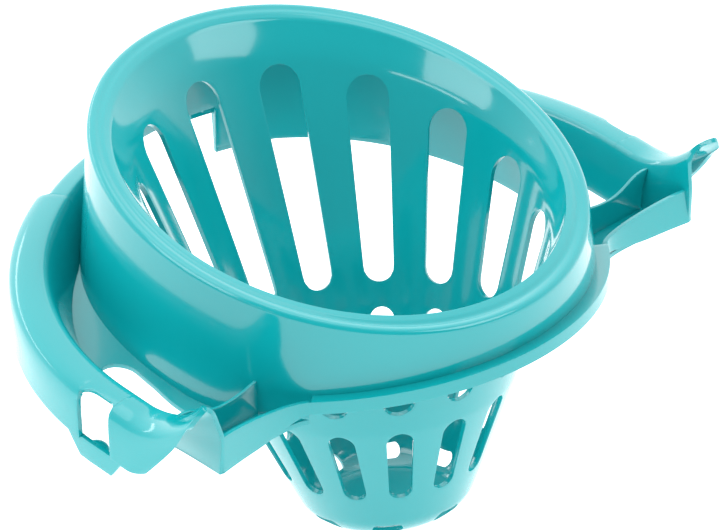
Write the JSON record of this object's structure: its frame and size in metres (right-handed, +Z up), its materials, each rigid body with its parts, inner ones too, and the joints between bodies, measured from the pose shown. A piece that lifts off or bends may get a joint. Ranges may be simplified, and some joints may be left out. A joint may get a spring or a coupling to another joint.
{
  "type": "mop wringer basket",
  "caption": "Tilted double-walled funnel with a slotted strainer basket and two wings whose arched edge clips over the rim of an oval mop bucket.",
  "frame": {"origin": "centre of the flat underside of the drain basket, on the axis of the strainer", "axes": "+Z up the axis of the strainer towards its mouth, +Y towards the end wall of the bucket where the rim is highest, +X along the right wing"},
  "size_m": [0.2858, 0.2028, 0.1735],
  "materials": {
    "moulding": "glossy turquoise polypropylene, moulded in one piece"
  },
  "bodies": {
    "root": {"funnel_wall": "moulding", "drain_basket": "moulding", "basket_floor": "moulding", "rim_bead": "moulding", "outer_skirt": "moulding", "front_collar": "moulding", "left_trough_floor": "moulding", "right_trough_floor": "moulding", "left_front_floor": "moulding", "right_front_floor": "moulding", "left_rib": "moulding", "right_rib": "moulding", "left_front_apron": "moulding", "right_front_apron": "moulding", "left_rear_channel": "moulding", "right_rear_channel": "moulding", "left_window_bridge": "moulding", "right_window_bridge": "moulding", "left_front_channel": "moulding", "right_front_channel": "moulding", "left_horn": "moulding", "right_horn": "moulding", "left_snap_tab": "moulding", "right_snap_tab": "moulding", "rear_bridge": "moulding", "rear_left_channel": "moulding", "rear_right_channel": "moulding", "rear_left_clip": "moulding", "rear_right_clip": "moulding"}
  },
  "joints": []
}
